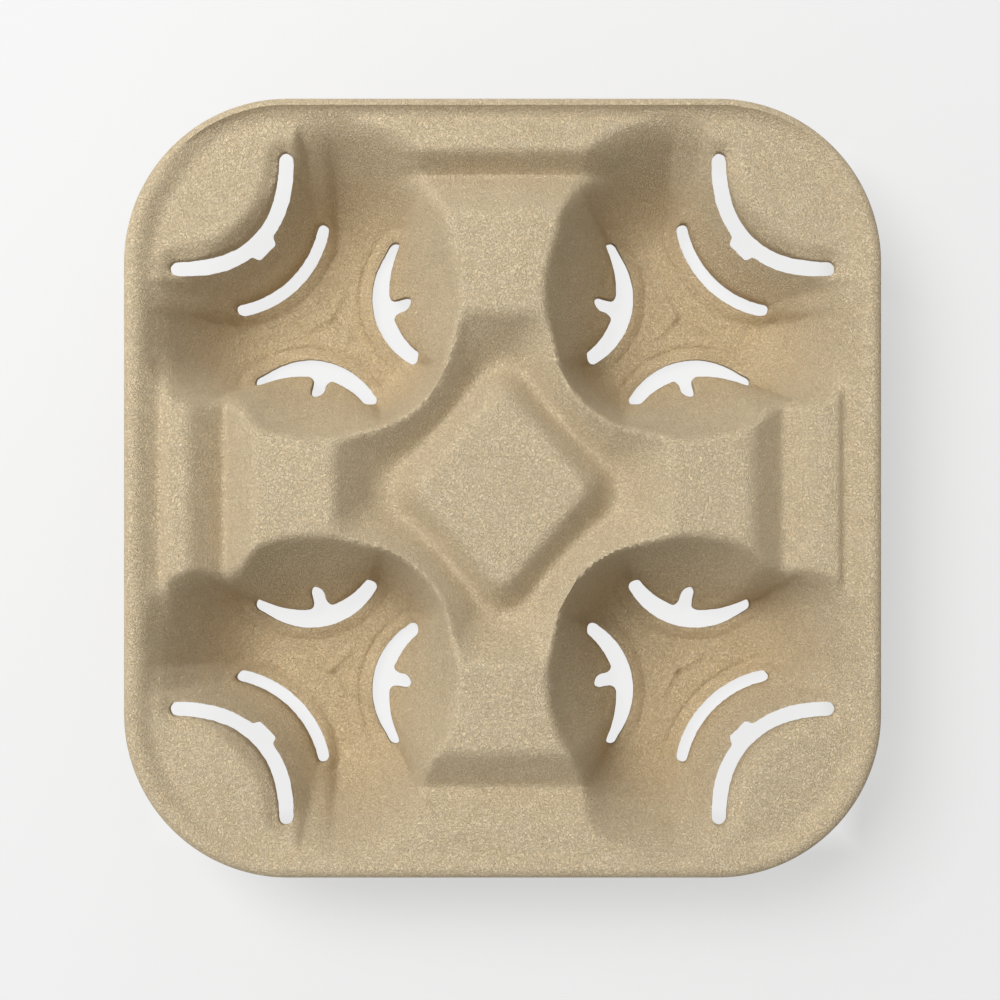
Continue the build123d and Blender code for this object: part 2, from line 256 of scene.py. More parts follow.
    mark_height: length("Mark height", 0.8, "Height of the raised mark")
    mark_width: length("Mark width", 1.1, "Width of the raised mark's arms")


class PulpFinish(bpy.types.PropertyGroup):
    """Colours and texture of the pressed pulp."""

    body: colour("Pulp", (0.75, 0.61, 0.40), "Main colour of the pulp")
    body_dark: colour("Darker pulp", (0.70, 0.56, 0.355), "Colour of the darker blotches")
    pale: colour("Pale fibre", (0.88, 0.77, 0.58), "Colour of the palest fibres")
    dark: colour("Dark fibre", (0.40, 0.29, 0.155), "Colour of the gaps between the fibres")
    speck: colour("Speck", (0.12, 0.08, 0.04), "Colour of the few dark specks")
    # Tint multiplied into the pulp by height: it makes the colour warmer and darker towards the pockets'
    # floors.
    pressed: colour("Pressed tint", (1.0, 0.955, 0.885), "Tint of the smoother pulp deep in the pockets")
    deep_tint_top: length("Pressed top", 26.0, "Height where the pressed tint starts")
    deep_tint_full: length("Pressed full", 2.0, "Height where the pressed tint is in full")
    pale_share: number("Pale share", 0.76, "How strongly the pale fibres show")
    gap_share: number("Gap share", 0.38, "How strongly the gaps between fibres show")
    grain_share: number("Grain share", 0.28, "How strongly the fine grain shows")
    speck_share: number("Speck share", 0.45, "How strongly the specks show")
    fibre_length: length("Fibre length", 1.3, "Length of the fibres that show")
    fibre_width: length("Fibre width", 0.32, "Width of the fibres that show")
    fibre_depth: length("Fibre depth", 0.2, "Relief of the fibres")
    curl: length("Curl", 0.5, "How far the fibres waver to the sides")
    curl_length: length("Curl length", 1.5, "Spacing of the fibres' wavering")
    long_strand: length("Long strand", 1.25, "Size of the loops of the long curly strands")
    short_strand: length("Short strand", 0.95, "Size of the loops of the short curly strands")
    gap_strand: length("Gap strand", 1.15, "Size of the loops of the curly gaps")
    grain: length("Grain", 0.45, "Size of the fine grain")
    mottle: length("Mottle", 6.0, "Size of the slow blotches")
    speck_spacing: length("Speck spacing", 0.9, "Size of the noise whose peaks are the specks")
    roughness: number("Roughness", 0.9, "How matt the pulp is")


class StudioSetup(bpy.types.PropertyGroup):
    """Camera, lamp and floor."""

    camera_height: length("Camera height", 462.0, "Height of the camera over the floor")
    camera_x: length("Camera across", 0.7, "Place of the camera across the carrier")
    camera_y: length("Camera front to back", -20.5, "Place of the camera from front to back")
    lens: number("Lens", 53.35, "Focal length in millimetres on a 36 mm sensor")
    shift_x: number("Shift across", -0.005, "Sideways shift of the picture")
    shift_y: number("Shift up", 0.06, "Upward shift of the picture")
    key_power: number("Key power", 11.9, "Power of the soft key lamp in watts")
    key_size: length("Key size", 600.0, "Side of the square key lamp")
    key_place: position("Key place", (-0.46, 0.36, 0.95), "Place of the key lamp")
    sky: number("Sky", 0.405, "Strength of the even light from all round")
    floor: colour("Floor", (0.73, 0.73, 0.73), "Colour of the matt floor")
    floor_radius: length("Floor radius", 4000.0, "Radius of the round floor")
    floor_gap: length("Floor gap", 0.05, "How far the floor lies under the carrier")
    backdrop: colour("Backdrop", (0.905, 0.905, 0.905), "Colour of the backdrop")
    near_share: number("White near the carrier", 0.58, "How white the floor is near the carrier")
    fade_start: length("Fade start", 180.0, "Distance where the floor starts to fade into the backdrop")
    fade_end: length("Fade end", 450.0, "Distance where the floor has faded into the backdrop")
    # Painted light: under the openings the floor shows the backdrop's white where the carrier's shade falls.
    painted_light_share: number("White under the carrier", 0.75, "How much paler the floor is under the openings")
    painted_light_start: length("Under start", 112.0, "Half width where the floor starts to get paler")
    painted_light_end: length("Under end", 98.0, "Half width where the floor is palest")
    samples_seed: IntProperty(name="Seed", description="Seed of the surface's unevenness", default=7)


def smooth_min(a, b, width):
    """The lower of two heights, blended where they come within a width of each other."""
    share = np.clip(0.5 + 0.5 * (b - a) / width, 0, 1)
    return b + (a - b) * share - width * share * (1 - share)


def smooth_max(a, b, width):
    """The higher of two heights, blended where they come within a width of each other."""
    return -smooth_min(-a, -b, width)


def smooth_step(value, start, end):
    """Rises from 0 to 1 between start and end, level at both."""
    share = np.clip((value - start) / (end - start), 0, 1)
    return share * share * (3 - 2 * share)


def soft_minimum(distances, softness):
    """The smallest of several distances, with the corners between them rounded off."""
    least = np.min(distances, axis=0)
    return least - softness * np.log(sum(np.exp((least - d) / softness) for d in distances))


class Waves:
    """Smooth random field over the plan, from a seeded lattice."""

    def __init__(self, seed, cells=256):
        self.values = np.random.default_rng(seed).uniform(-1, 1, (cells, cells))

    def __call__(self, x, y, spacing):
        cells = len(self.values)
        u, v = x / spacing, y / spacing
        i, j = np.floor(u).astype(int), np.floor(v).astype(int)
        fu, fv = smooth_step(u - i, 0, 1), smooth_step(v - j, 0, 1)
        corner = lambda a, b: self.values[(i + a) % cells, (j + b) % cells]
        near = corner(0, 0) * (1 - fu) + corner(1, 0) * fu
        far = corner(0, 1) * (1 - fu) + corner(1, 1) * fu
        return near * (1 - fv) + far * fv


def rim_inset(x, y, tray):
    """How far a point lies in from the outline, a rectangle with round corners."""
    across = np.abs(x) - (tray.width / 2 - tray.corner_radius)
    along = np.abs(y) - (tray.depth / 2 - tray.corner_radius)
    past_corner = np.hypot(np.maximum(across, 0), np.maximum(along, 0))
    return tray.corner_radius - past_corner - np.minimum(np.maximum(across, along), 0)


def outline_loop(inset, count, tray):
    """Points at even spacing round the outline, moved in by an inset, anticlockwise from the right side."""
    radius = tray.corner_radius - inset
    straight_x = tray.width - 2 * tray.corner_radius
    straight_y = tray.depth - 2 * tray.corner_radius
    quarter = np.pi / 2 * tray.corner_radius
    total = 2 * (straight_x + straight_y) + 4 * quarter
    points = []
    for distance in np.arange(count) * total / count:
        centre = np.array([tray.width / 2 - tray.corner_radius, -straight_y / 2])
        for side, straight in enumerate((straight_y, straight_x, straight_y, straight_x)):
            outward = np.array([np.cos(side * np.pi / 2), np.sin(side * np.pi / 2)])
            forward = np.array([-outward[1], outward[0]])
            if distance <= straight:
                points.append(centre + forward * distance + outward * radius)
                break
            distance -= straight
            centre = centre + forward * straight
            if distance <= quarter:
                turn = side * np.pi / 2 + distance / tray.corner_radius
                points.append(centre + radius * np.array([np.cos(turn), np.sin(turn)]))
                break
            distance -= quarter
    return np.array(points)


def ray_to_circle(turn, face, radius):
    """Distance along rays from the axis to a circle whose nearest point lies face away.

    Past the circle's edge the distance goes on growing, and on the far side it is large.
    """
    growth, far_side = 6, 10 * face
    centre = face + radius
    aside = np.abs(centre * np.sin(turn))
    on_circle = centre * np.cos(turn) - np.sqrt(np.maximum(radius**2 - aside**2, 0))
    past_edge = growth * np.maximum(aside - radius, 0)
    return np.where(np.cos(turn) <= 0, far_side, on_circle + past_edge)


def floor_radius(turn, side_foot, side_radius, softness, pocket):
    """Distance from the axis to the pocket's wall at floor level, for side fingers at some distance."""
    return soft_minimum([
        np.full_like(turn, pocket.floor_reach),
        ray_to_circle(turn, pocket.finger_foot, pocket.corner_foot_radius),
        ray_to_circle(turn - pocket.side_foot_angle, side_foot, side_radius),
        ray_to_circle(turn + pocket.side_foot_angle, side_foot, side_radius),
    ], softness)


def mouth_radius(turn, at_back, to_rim, pocket):
    """Distance from the axis to the pocket's wall at ridge level.

    at_back is 1 on the back arm's sides, else 0. to_rim is the reach straight towards the nearest rim.
    """
    away = np.abs(turn)
    turn_end = pocket.mouth_turn_end + at_back * pocket.back_arm_turn
    arm = pocket.mouth_reach_arm + at_back * (pocket.mouth_reach_back_arm - pocket.mouth_reach_arm)
    drawn_in = smooth_step(away, pocket.mouth_turn_start, turn_end)
    reach = pocket.mouth_reach_outer + (arm - pocket.mouth_reach_outer) * drawn_in
    reach = reach + (pocket.mouth_reach_inner - arm) * smooth_step(away, pocket.inner_turn_start, np.pi)
    least_cosine = 0.3
    rim = to_rim / np.maximum(np.cos(away - np.pi / 4), least_cosine)
    lobes = smooth_min(reach, rim, pocket.mouth_rim_round)
    return soft_minimum([lobes, ray_to_circle(turn, pocket.corner_mouth, pocket.corner_mouth_radius)],
                        pocket.mouth_softness)


def pocket_height(u, v, at_back, to_rim, tray, pocket):
    """Height of a pocket's wall and floor, from local places: u runs to the carrier's corner."""
    reach, turn = np.hypot(u, v), np.arctan2(v, u)
    mouth = mouth_radius(turn, at_back, to_rim, pocket)
    foot = floor_radius(turn, pocket.finger_foot, pocket.side_foot_radius, pocket.foot_softness, pocket)
    wall_foot = floor_radius(turn, pocket.side_wall_foot, pocket.side_wall_radius, pocket.wall_softness,
                             pocket)
    up_wall = smooth_step(reach, pocket.finger_foot, pocket.wall_foot_share * pocket.finger_foot)
    foot = foot + (wall_foot - foot) * up_wall
    left = (mouth - reach) / (mouth - foot)
    inside = 1 - np.maximum(left, 0) ** (1 / pocket.bowl)
    share = np.where(left > 0, inside, 1 - pocket.overrun * left)
    wall = tray.wall + share * (tray.ridge_height - tray.wall)
    lobe = np.clip((foot - pocket.finger_foot) / (pocket.floor_reach - pocket.finger_foot), 0, 1)
    blend = pocket.finger_blend + (pocket.lobe_blend - pocket.finger_blend) * lobe
    return smooth_max(np.full_like(wall, tray.wall), wall, blend)


def ledge_recess(u, v, tray, pocket):
    """Height of the recess round a ledge slot."""
    centre = pocket.ledge_face + pocket.ledge_radius
    turn = np.arctan2(v, centre - u)
    on_arc = np.abs(np.hypot(u - centre, v) - pocket.ledge_radius)
    end_u = centre - pocket.ledge_radius * np.cos(pocket.ledge_half_angle)
    end_v = pocket.ledge_radius * np.sin(pocket.ledge_half_angle)
    past_end = np.hypot(u - end_u, np.abs(v) - end_v)
    distance = np.where(np.abs(turn) <= pocket.ledge_half_angle, on_arc, past_end)
    slope = distance - pocket.ledge_half_width
    return tray.ledge_height + smooth_max(np.zeros_like(slope), slope, pocket.ledge_round)


def arm_profile(along, arm_end, valley, low, pad_start, tray):
    """Height along an arm: ridge, slope down to the valley, slope up to the pad."""
    down = low + (valley - along) * (tray.ridge_height - low) / (valley - arm_end)
    up = low + (along - valley) * (tray.pad_height - low) / (pad_start - valley)
    ridge = smooth_min(np.full_like(along, tray.ridge_height), down, tray.arm_end_round)
    pad = smooth_min(np.full_like(along, tray.pad_height), up, tray.pad_round)
    return smooth_max(ridge, pad, tray.valley_round)


def with_arm(land, rim, along, across, ends, breadth, tray):
    """The land with one arm's section laid over it, out to the arm's pad and the groove by the rim."""
    arm_end, valley, low, pad_start, pad_end = ends
    arm = arm_profile(along, arm_end, valley, low, pad_start, tray)
    groove = smooth_max(rim, np.full_like(rim, tray.groove_height), tray.groove_round)
    outer = smooth_max(groove, tray.pad_height - (along - pad_end) * tray.pad_slope, tray.groove_round)
    middle = (pad_start + pad_end) / 2
    section = np.where(along < middle, arm, np.minimum(outer, np.maximum(tray.pad_height, rim)))
    weight = 1 - smooth_step(across, breadth / 2 - tray.arm_side_fade, breadth / 2 + tray.arm_side_fade)
    return land + (section - land) * weight


def diamond_distance(x, y, tray):
    """Distance outside the diamond's top, which has round corners. x and y aren't below 0."""
    reach_x, reach_y = tray.diamond_half_width, tray.diamond_half_depth
    shrink = 1 - tray.diamond_rounding * np.hypot(reach_x, reach_y) / (reach_x * reach_y)
    core_x, core_y = reach_x * shrink, reach_y * shrink
    share = np.clip(((core_x - x) * core_x + y * core_y) / (core_x**2 + core_y**2), 0, 1)
    away = np.hypot(x - core_x * (1 - share), y - core_y * share)
    inside = x * core_y + y * core_x < core_x * core_y
    return np.where(inside, -away, away) - tray.diamond_rounding


def diamond_and_moat(x, y, u, v, tray):
    """Height of the central diamond and of the moat round it."""
    rise = np.tan(tray.moat_slope)
    from_pocket = tray.moat_pocket_radius - np.hypot(u, v)
    from_ends = smooth_max(x - tray.moat_half_width, y - tray.moat_half_depth, tray.moat_corner_round)
    outside = smooth_max(from_ends, from_pocket, tray.moat_pocket_round)
    sides = tray.moat_height + rise * outside
    moat = smooth_max(np.full_like(x, tray.moat_height), sides, tray.moat_foot_round)
    slope = tray.diamond_height - rise * diamond_distance(x, y, tray)
    diamond = smooth_min(np.full_like(x, tray.diamond_height), slope, tray.diamond_edge_round)
    return smooth_max(moat, diamond, tray.diamond_foot_round)


def rim_slope(x, y, tray):
    """Height of the rim's crown and of its slope down to the ears."""
    inset = rim_inset(x, y, tray)
    run = (tray.rim_foot - tray.rim_crown) / (tray.rim_height - tray.ear_height)
    at_back = smooth_step(y, tray.depth / 2 - tray.back_rim_start, tray.depth / 2 - tray.back_rim_full)
    crown = tray.rim_crown - tray.back_rim_shift * at_back
    slope = tray.rim_height - (inset - crown) / run
    return smooth_min(np.full_like(x, tray.rim_height), slope, tray.rim_round)


def land_with_arms(x, y, tray):
    """Height of the rim, the ears and the four arms with their pads."""
    rim = rim_slope(x, y, tray)
    ears = smooth_max(rim, np.full_like(x, tray.ear_height), tray.rim_foot_round)
    side, end = np.abs(x), np.abs(y)
    side_low = np.where(x > 0, tray.right_valley_height, tray.valley_height)
    side_ends = tray.side_arm_end, tray.side_valley, side_low, tray.side_pad_start, tray.side_pad_end
    back_ends = tray.back_arm_end, tray.back_valley, tray.valley_height, tray.end_pad_start, tray.back_pad_end
    front_ends = (tray.front_arm_end, tray.front_valley, tray.front_valley_height, tray.end_pad_start,
                  tray.end_pad_end)
    sides = with_arm(ears, rim, side, end, side_ends, tray.side_arm_breadth, tray)
    back = with_arm(ears, rim, end, side, back_ends, tray.end_arm_breadth, tray)
    front = with_arm(ears, rim, end, side, front_ends, tray.end_arm_breadth, tray)
    half, fade = tray.end_arm_breadth / 2, tray.arm_side_fade
    on_end_arm = (1 - smooth_step(side, half - fade, half + fade) > 0.5) & (end > tray.side_arm_breadth / 2)
    return np.where((end > side) | on_end_arm, np.where(y > 0, back, front), sides)


def upper_surface(x, y, tray, pocket):
    """Height of the tray's upper surface over points of the plan, without its fine relief."""
    side, end = np.abs(x), np.abs(y)
    u = ((side - pocket.axis_x) + (end - pocket.axis_y)) / np.sqrt(2)
    v = ((end - pocket.axis_y) - (side - pocket.axis_x)) / np.sqrt(2)
    land = land_with_arms(x, y, tray)
    land = smooth_min(land, ledge_recess(u, v, tray, pocket), tray.recess_round)
    land = smooth_min(land, diamond_and_moat(side, end, u, v, tray), tray.moat_edge_round)
    at_back = ((y > 0) & (v > 0)).astype(float)
    to_end = np.where(y > 0, pocket.mouth_to_back, pocket.mouth_to_front)
    to_rim = np.where(v < 0, pocket.mouth_to_side, to_end)
    bowl = pocket_height(u, v, at_back, to_rim, tray, pocket)
    turn = np.abs(np.arctan2(v, u))
    beside = smooth_step(turn, pocket.lobe_side_start, pocket.lobe_start)
    beside = beside * (1 - smooth_step(turn, pocket.lobe_end, pocket.lobe_side_end))
    blend = pocket.mouth_blend + (pocket.lobe_mouth_blend - pocket.mouth_blend) * beside
    return smooth_min(land, bowl, blend)


def lower_surface(x, y, tray, pocket):
    """Height of the underside: a ball of the wall's thickness rolled under the upper surface."""
    lowest = upper_surface(x, y, tray, pocket) - tray.wall
    ball_rings = ((0.35, 6), (0.62, 8), (0.84, 12), (0.97, 16))
    for ring, count in ball_rings:
        radius = ring * tray.wall
        drop = np.sqrt(tray.wall**2 - radius**2)
        for turn in np.arange(count) * 2 * np.pi / count + ring:
            over = upper_surface(x + radius * np.cos(turn), y + radius * np.sin(turn), tray, pocket)
            lowest = np.minimum(lowest, over - drop)
    return np.maximum(lowest, 0)


def arc(centre, radius, start, end):
    """Points along an arc about a centre on the local u axis, by angle from the direction of the axis."""
    count = max(3, int(abs(end - start) * radius / ARC_SPACING))
    turns = np.linspace(start, end, count)
    return np.stack([centre - radius * np.cos(turns), radius * np.sin(turns)], 1)


def round_tip(start, end):
    """Half circle from one point to the next, on the left of the way between them."""
    start, end = np.array(start), np.array(end)
    middle, half = (start + end) / 2, (end - start) / 2
    side = np.array([-half[1], half[0]])
    turns = np.linspace(0, np.pi, 9)[1:-1]
    return middle - np.outer(np.cos(turns), half) + np.outer(np.sin(turns), side)


def crescent(opening, pocket):
    """Near arc, tip, far arc and tip of an opening, from the pocket's sizes that start with its name."""
    near, near_radius, near_angle = (getattr(pocket, opening + part) for part in
                                     ("_near", "_near_radius", "_near_angle"))
    far, far_radius, far_angle = (getattr(pocket, opening + part) for part in
                                  ("_far", "_far_radius", "_far_angle"))
    near_arc = arc(near + near_radius, near_radius, -near_angle, near_angle)
    far_arc = arc(far + far_radius, far_radius, far_angle, -far_angle)
    first = round_tip(near_arc[-1], far_arc[0])
    second = round_tip(far_arc[-1], near_arc[0])
    return near_arc, first, far_arc, second


def detour(points, low, high, extra):
    """An edge with the points between two sideways limits replaced by others."""
    below, above = points[points[:, 1] < low], points[points[:, 1] > high]
    falls = points[0, 1] > points[-1, 1]
    return np.concatenate([above, extra, below] if falls else [below, extra, above])


def corner_window(pocket):
    """Window at the foot of the corner finger."""
    return np.concatenate(crescent("corner_window", pocket))


def ledge_slot(pocket):
    """Slot in the ledge, with a shallow step in the middle of its near edge."""
    near, tip, far, last = crescent("ledge_slot", pocket)
    start, deep = pocket.step_start, pocket.ledge_slot_near - pocket.step_depth
    half, slant, clear = pocket.step_width / 2, 0.3 * MM, 0.2 * MM
    step = np.array([[start, -half], [deep, slant - half], [deep, 0], [deep, half - slant], [start, half]])
    return np.concatenate([detour(near, -half - clear, half + clear, step), tip, far, last])


def side_window(pocket, side):
    """Window at the foot of a side finger, with a hooked slit that runs up the finger.

    The slit's points go up one side, round its head and down the other, each by how far out and how far
    to the side it lies.
    """
    near, tip, far, last = crescent("side_window", pocket)
    half, middle = pocket.slit_width / 2, side * pocket.slit_offset
    top = pocket.side_window_near + pocket.slit_reach
    head = top - half
    slit = [
        (19.3 * MM, half + 1.0 * MM), (20.2 * MM, half + 0.1 * MM), (21.6 * MM, half - 0.3 * MM),
        (head, half + 0.1 * MM), (head + 1.3 * MM, half - 0.5 * MM), (top, 0.3 * half), (top, -0.4 * half),
        (head + 0.9 * MM, -half + 0.3 * MM), (head - 0.6 * MM, -half + 0.2 * MM),
        (21.4 * MM, -half - 0.1 * MM), (20.2 * MM, -half - 0.4 * MM), (19.3 * MM, -half - 1.3 * MM),
    ]
    slit = np.array(slit) * (1, side) + (0, middle)
    if side < 0:
        slit = slit[::-1]
    reach = half + pocket.slit_mouth
    return np.concatenate([near, tip, detour(far, middle - reach, middle + reach, slit), last])


def resampled(points, spacing):
    """A closed outline with points at even spacing."""
    closed = np.concatenate([points, points[:1]])
    lengths = np.concatenate([[0], np.cumsum(np.linalg.norm(np.diff(closed, axis=0), axis=1))])
    count = max(8, int(lengths[-1] / spacing))
    places = np.arange(count) * lengths[-1] / count
    return np.stack([np.interp(places, lengths, closed[:, axis]) for axis in (0, 1)], 1)


def softened(points, passes):
    """A closed outline with its corners rounded by averaging neighbours."""
    for _ in range(passes):
        points = 0.5 * points + 0.25 * (np.roll(points, 1, 0) + np.roll(points, -1, 0))
    return points


def turned(points, turn):
    """Points turned about the pocket's axis."""
    cos, sin = np.cos(turn), np.sin(turn)
    return points @ np.array([[cos, sin], [-sin, cos]])


def turned_side_window(pocket, side):
    """A side finger's window, turned to its finger."""
    return turned(side_window(pocket, side), side * pocket.side_foot_angle)


def openings(pocket, waves):
    """Outlines of all the windows and slots, in the carrier's plan."""
    local = [corner_window(pocket), ledge_slot(pocket)]
    local += [turned_side_window(pocket, side) for side in (1, -1)]
    passes, other_waves = 9, 0.3
    outlines = []
    for sign_x, sign_y in ((1, 1), (-1, 1), (-1, -1), (1, -1)):
        for points in local:
            points = softened(resampled(points, FINE_SPACING), passes)
            points = resampled(points, OPENING_SPACING)
            u, v = points[:, 0], points[:, 1]
            x = sign_x * (pocket.axis_x + (u - v) / np.sqrt(2))
            y = sign_y * (pocket.axis_y + (u + v) / np.sqrt(2))
            x = x + pocket.edge_fuzz * waves(x + other_waves, y, pocket.fuzz_spacing)
            y = y + pocket.edge_fuzz * waves(x, y + other_waves, pocket.fuzz_spacing)
            outline = np.stack([x, y], 1)
            outlines.append(outline[::-1] if sign_x * sign_y > 0 else outline)
    return outlines


def staggered_grid(spacing, tray):
    """Points of a staggered grid over the tray's plan."""
    ys = np.arange(-tray.depth / 2, tray.depth / 2, spacing * np.sqrt(3) / 2)
    xs = np.arange(-tray.width / 2, tray.width / 2, spacing)
    x, y = np.meshgrid(xs, ys)
    x = x + (np.arange(len(ys)) % 2)[:, None] * spacing / 2
    return x.ravel(), y.ravel()


def plan_points(spacing, floor_spacing, edge, tray, pocket):
    """Points inside the outline, closer together on the pockets' floors, clear of the edges' own points."""
    gathered = []
    for step, on_floor in ((spacing, False), (floor_spacing, True)):
        x, y = staggered_grid(step, tray)
        from_axis = np.hypot(np.abs(x) - pocket.axis_x, np.abs(y) - pocket.axis_y)
        kept = from_axis < pocket.fine_reach if on_floor else from_axis > pocket.fine_reach + 0.5 * spacing
        kept &= rim_inset(x, y, tray) > tray.rim_crest + CLEAR_SHARE * step
        gathered.append(np.stack([x[kept], y[kept]], 1))
    x, y = np.concatenate(gathered).T
    tree = KDTree(len(edge))
    for index, (ex, ey) in enumerate(edge):
        tree.insert((ex, ey, 0), index)
    tree.balance()
    clear = CLEAR_SHARE * floor_spacing
    free = np.array([tree.find((px, py, 0))[2] > clear for px, py in zip(x, y)])
    return np.stack([x[free], y[free]], 1)


def plan_mesh(spacing, floor_spacing, outer, outlines, tray, pocket):
    """Triangulates the plan between the outline and the openings. Returns points and triangles."""
    edge = np.concatenate([outer] + outlines)
    points = np.concatenate([edge, plan_points(spacing, floor_spacing, edge, tray, pocket)])
    holes, start = [], len(outer)
    for outline in outlines:
        holes.append(list(range(start, start + len(outline))))
        start += len(outline)
    nearest = 1e-9
    verts, _, faces, _, _, inside = delaunay_2d_cdt([Vector(p) for p in points], [], holes, 0, nearest, True)
    kept = [face for face, hole in zip(faces, inside) if not hole]
    return np.array([tuple(v) for v in verts]), np.array(kept)


class MeshParts:
    """Points and faces gathered from several surfaces, to be joined where their edges meet."""

    def __init__(self):
        self.points, self.faces, self.count = [], [], 0

    def add(self, points, faces):
        self.points.append(points)
        self.faces += [[int(i) + self.count for i in face] for face in faces]
        self.count += len(points)

    def object(self, name):
        mesh = bpy.data.meshes.new(name)
        mesh.from_pydata([tuple(p) for p in np.concatenate(self.points)], [], self.faces)
        made = bpy.data.objects.new(name, mesh)
        bpy.context.scene.collection.objects.link(made)
        return made


def ring_faces(rows, count):
    """Quads between closed rings of points."""
    faces = []
    for row in range(rows - 1):
        for i in range(count):
            j = (i + 1) % count
            faces.append((row * count + i, row * count + j, (row + 1) * count + j, (row + 1) * count + i))
    return faces


def rim_profile(tray):
    """Insets and heights over the rolled rim, from the crest round the skirt to the underside."""
    crest, wall = tray.rim_crest, tray.wall
    lip = wall / 2
    turns = np.radians(np.arange(0, 91, 11.25))
    outer = [(crest * (1 - np.sin(t)), tray.rim_height - crest * (1 - np.cos(t))) for t in turns]
    lip_turns = np.radians(np.arange(0, 181, 30))
    edge = [(lip * (1 - np.cos(t)), tray.skirt_height + lip * (1 - np.sin(t))) for t in lip_turns]
    inner_round = crest - wall
    inner = [(crest - inner_round * np.sin(t), tray.rim_height - wall - inner_round * (1 - np.cos(t)))
             for t in turns[::-1][::2]]
    return outer + edge + inner


def distance_to_points(x, y, points):
    """Distance from places to the nearest of a few points, in handfuls that fit in memory."""
    nearest, handful = np.empty(len(x)), 4000
    for start in range(0, len(x), handful):
        part = slice(start, start + handful)
        away = (x[part, None] - points[:, 0]) ** 2 + (y[part, None] - points[:, 1]) ** 2
        nearest[part] = np.sqrt(away.min(axis=1))
    return nearest


def distance_to_arm(u, v, end):
    """Distance to a straight line out from the axis, and how far along it a place lies, from 0 to 1."""
    share = np.clip((u * end[0] + v * end[1]) / (end @ end), 0, 1)
    return np.hypot(u - share * end[0], v - share * end[1]), share


def hill(distance, width):
    """A smooth hill, 1 at no distance and near 0 past twice the width."""
    return np.exp(-((distance / width) ** 2))


def pocket_relief(u, v, height, pocket):
    """Lips and creases round the windows, and the raised mark in the middle of the floor."""
    raised = np.zeros_like(u)
    low = 1 - smooth_step(height, pocket.crease_fade_start, pocket.crease_fade_end)
    near = np.hypot(u, v) < pocket.relief_reach
    away = np.full_like(u, 1.0)
    windows = [(corner_window(pocket), pocket.corner_crease)]
    windows += [(turned_side_window(pocket, side), pocket.side_crease) for side in (1, -1)]
    for outline, crease in windows:
        away[near] = distance_to_points(u[near], v[near], resampled(outline, ARC_SPACING))
        lip = pocket.lip_height * hill(away - pocket.lip_place, pocket.lip_place)
        raised += low * (lip - pocket.crease_depth * hill(away - crease, pocket.crease_width))
    mark_fade = 0.75
    for turn in np.radians((-72, 71, 180)):
        away, place = distance_to_arm(u, v, pocket.mark_reach * np.array([np.cos(turn), np.sin(turn)]))
        raised += pocket.mark_height * hill(away, pocket.mark_width) * (1 - smooth_step(place, mark_fade, 1))
    return raised


def relief(x, y, tray, pocket, waves):
    """Fine relief of the upper surface: slow unevenness of the pressed pulp, and the pockets' creases."""
    slow = waves(x, y, tray.wave_length)
    fine = waves(x + 0.2, y, tray.ripple_length)
    height = tray.roughness * (0.6 * slow + 0.4 * fine)
    height = height * smooth_step(rim_inset(x, y, tray), 0, tray.even_edge)
    side, end = np.abs(x) - pocket.axis_x, np.abs(y) - pocket.axis_y
    u, v = (side + end) / np.sqrt(2), (end - side) / np.sqrt(2)
    return height + pocket_relief(u, v, upper_surface(x, y, tray, pocket), pocket)


def build_tray(tray, pocket, waves):
    """The whole tray as one closed shell."""

    def upper(points):
        x, y = points[:, 0], points[:, 1]
        return upper_surface(x, y, tray, pocket) + relief(x, y, tray, pocket, waves)

    def lower(points):
        return lower_surface(points[:, 0], points[:, 1], tray, pocket)

    outlines = openings(pocket, waves)
    outer = outline_loop(tray.rim_crest, RIM_POINTS, tray)
    parts = MeshParts()
    top, top_faces = plan_mesh(TOP_SPACING, TOP_FLOOR_SPACING, outer, outlines, tray, pocket)
    parts.add(np.column_stack([top, upper(top)]), top_faces)
    under, under_faces = plan_mesh(UNDER_SPACING, UNDER_FLOOR_SPACING, outer, outlines, tray, pocket)
    parts.add(np.column_stack([under, lower(under)]), under_faces[:, ::-1])
    for outline in outlines:
        high, low = upper(outline), lower(outline)
        rows = [np.column_stack([outline, high + (low - high) * share]) for share in (0, 0.5, 1)]
        parts.add(np.concatenate(rows), ring_faces(len(rows), len(outline)))
    rings = []
    for inset, height in rim_profile(tray):
        loop = outline_loop(inset, RIM_POINTS, tray)
        rings.append(np.column_stack([loop, np.full(len(loop), height)]))
    rings[0][:, 2] = upper(outer)
    rings[-1][:, 2] = lower(outer)
    parts.add(np.concatenate(rings), ring_faces(len(rings), RIM_POINTS))
    return parts.object("pulp_tray")


def finish_mesh(tray_object):
    """Joins the surfaces where they meet, turns their faces out and keeps the cut edges sharp."""
    sharp_angle, same_place = np.radians(62), 1e-6
    mesh = bmesh.new()
    mesh.from_mesh(tray_object.data)
    bmesh.ops.remove_doubles(mesh, verts=mesh.verts, dist=same_place)
    bmesh.ops.recalc_face_normals(mesh, faces=mesh.faces)
    for edge in mesh.edges:
        edge.smooth = len(edge.link_faces) == 2 and edge.calc_face_angle(0) < sharp_angle
    for face in mesh.faces:
        face.smooth = True
    mesh.to_mesh(tray_object.data)
    mesh.free()


def node_maths(nodes, links, operation, first, second=None, third=None):
    """One step of arithmetic on node outputs or numbers. Returns its output."""
    node = nodes.new("ShaderNodeMath")
    node.operation = operation
    for socket, value in zip(node.inputs, (first, second, third)):
        if isinstance(value, (int, float)):
            socket.default_value = value
        elif value is not None:
            links.new(value, socket)
    return node.outputs[0]


def node_noise(nodes, links, place, size, detail=2.0):
    """Smooth noise whose blotches are about one size across. Returns its node."""
    noise = nodes.new("ShaderNodeTexNoise")
    noise.inputs["Scale"].default_value = 1 / size
    noise.inputs["Detail"].default_value = detail
    links.new(place, noise.inputs["Vector"])
    return noise


